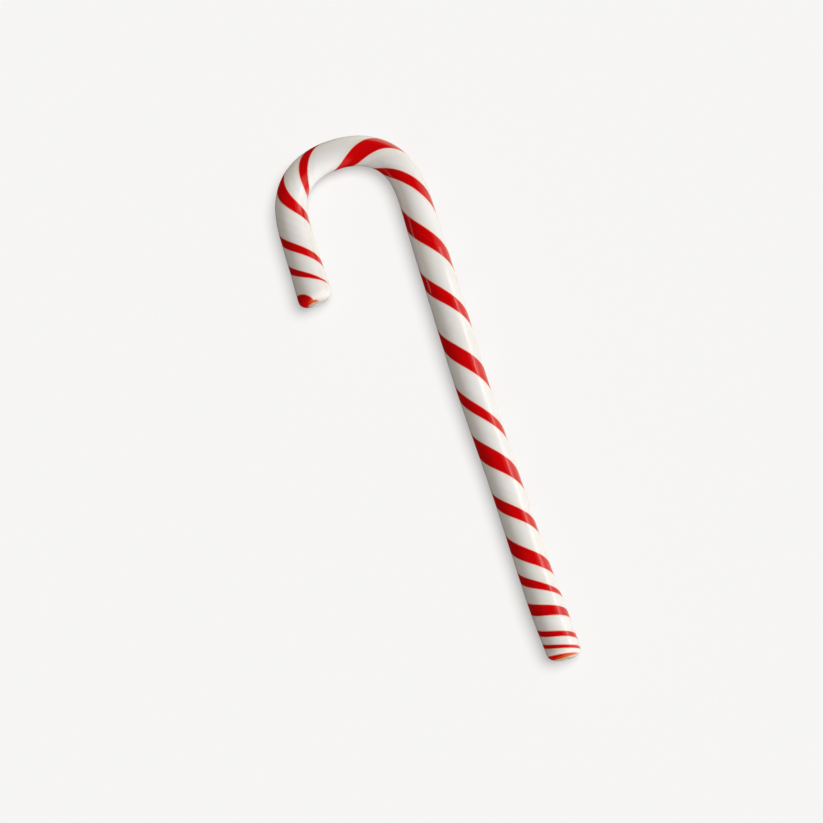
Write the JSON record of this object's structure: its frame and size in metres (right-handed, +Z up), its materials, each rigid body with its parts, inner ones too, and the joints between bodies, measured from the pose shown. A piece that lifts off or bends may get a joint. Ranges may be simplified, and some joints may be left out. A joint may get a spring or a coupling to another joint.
{
  "type": "candy cane",
  "caption": "Red and white striped candy cane: a round, twisted stick of pulled sugar bent over into a hook, lying on its side.",
  "frame": {"origin": "under the middle of the cane's outline, on the surface that it lies on", "axes": "+Y up the stem towards the crown, +X from the hook's arm towards the stem, +Z up from the surface"},
  "size_m": [0.0484, 0.1732, 0.0105],
  "materials": {
    "sugar": "glossy hard sugar, white with two red twisted stripes"
  },
  "bodies": {
    "root": {"cane": "sugar"}
  },
  "joints": []
}
